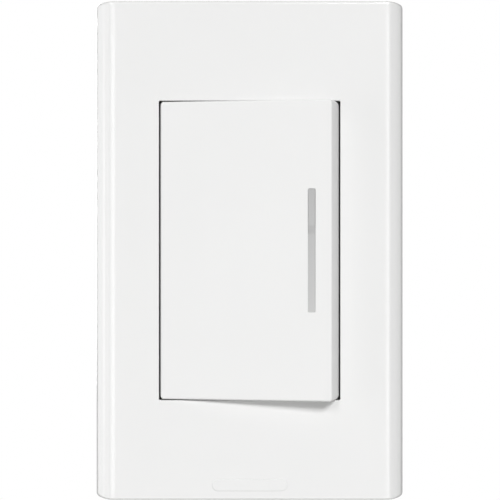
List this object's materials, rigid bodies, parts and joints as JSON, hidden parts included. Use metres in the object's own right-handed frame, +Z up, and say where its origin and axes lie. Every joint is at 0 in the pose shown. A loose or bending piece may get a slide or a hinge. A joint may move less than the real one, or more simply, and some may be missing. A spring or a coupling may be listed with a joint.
{
  "type": "dimmer slide switch",
  "caption": "Flush wall dimmer with a wide rocker that swings about a vertical axis, a slide dimmer in a slot in the rocker, and a dimmer module behind the wall plate.",
  "frame": {"origin": "midway between the two box-screw holes, on the wall plane at the back of the steel yoke", "axes": "+X right as seen from the front, +Y into the wall, +Z up"},
  "size_m": [0.0746, 0.0477, 0.12],
  "materials": {
    "plate_white": "smooth gloss",
    "rocker_white": "smooth gloss",
    "strip_grey": "satin",
    "frame_plastic": "fine texture",
    "housing_plastic": "satin",
    "carrier_plastic": "satin",
    "zinc_steel": "zinc plated",
    "screw_steel": "zinc plated",
    "spring_steel": "bright",
    "brass": "bright",
    "silver_contact": "satin",
    "aluminium": "mill finish",
    "board": "solder resist",
    "ferrite": "matt",
    "enamel_copper": "enamelled",
    "film_yellow": "satin",
    "black_epoxy": "moulded",
    "resistor_body": "lacquer",
    "fuse_body": "glazed",
    "diac_body": "glass",
    "pot_metal": "tinned",
    "phenolic": "carbon film on laminate",
    "release_orange": "satin"
  },
  "bodies": {
    "frame": {"cover_plate": "plate_white", "sub_frame": "frame_plastic", "frame_screws": "screw_steel", "yoke": "zinc_steel", "housing_lid": "housing_plastic", "housing_body": "housing_plastic", "housing_screws": "screw_steel", "circuit_board": "board", "triac": "black_epoxy", "heat_sink": "aluminium", "triac_screw": "screw_steel", "choke_core": "ferrite", "choke_winding": "enamel_copper", "film_capacitor": "film_yellow", "resistors": "resistor_body", "diac": "diac_body", "fuse": "fuse_body", "slide_pot_case": "pot_metal", "pot_track": "phenolic", "line_terminal": "brass", "load_terminal": "brass", "line_terminal_block": "carrier_plastic", "load_terminal_block": "carrier_plastic", "line_lock_spring": "spring_steel", "load_lock_spring": "spring_steel", "common_bracket": "brass", "fixed_contact_blade": "brass", "fixed_contact_rivet": "silver_contact"},
    "rocker": {"rocker_shell": "rocker_white", "rocker_carrier": "carrier_plastic", "hinge_pins": "spring_steel", "plunger_spring": "spring_steel"},
    "plunger": {"contact_plunger": "carrier_plastic"},
    "seesaw": {"seesaw_blade": "brass", "moving_contact_rivet": "silver_contact"},
    "slider": {"slider_shutter": "strip_grey", "slider_fork": "carrier_plastic"},
    "wiper": {"pot_lever": "carrier_plastic", "pot_brush": "brass"},
    "line_release": {"line_release_button": "release_orange"},
    "load_release": {"load_release_button": "release_orange"}
  },
  "joints": [
    {"name": "rocker_hinge", "type": "hinge", "parent": "frame", "child": "rocker", "pos_m": [0, -0.004, 0], "axis": [0, 0, 1], "range_deg": [0, 16]},
    {"name": "seesaw_pivot", "type": "hinge", "parent": "frame", "child": "seesaw", "pos_m": [0, 0.0087, 0], "axis": [0, 0, 1], "range_deg": [-16, 0]},
    {"name": "plunger_slide", "type": "slide", "parent": "rocker", "child": "plunger", "axis": [0.1392, 0.9903, 0], "range_m": [-0.0012, 0], "stiffness_N_per_m": 400, "springref_m": 0.002, "deforming": ["plunger_spring"]},
    {"name": "dimmer_slide", "type": "slide", "parent": "rocker", "child": "slider", "axis": [0, 0, 1], "range_m": [-0.018, 0]},
    {"name": "wiper_slide", "type": "slide", "parent": "frame", "child": "wiper", "axis": [0, 0, 1], "range_m": [-0.018, 0]},
    {"name": "line_release_press", "type": "slide", "parent": "frame", "child": "line_release", "axis": [0, -1, 0], "range_m": [0, 0.0015], "stiffness_N_per_m": 500, "springref_m": -0.002},
    {"name": "load_release_press", "type": "slide", "parent": "frame", "child": "load_release", "axis": [0, -1, 0], "range_m": [0, 0.0015], "stiffness_N_per_m": 500, "springref_m": -0.002}
  ],
  "couplings": [
    {"joint": "seesaw_pivot", "follows": "rocker_hinge", "ratio": -1},
    {"joint": "wiper_slide", "follows": "dimmer_slide", "ratio": 1}
  ]
}
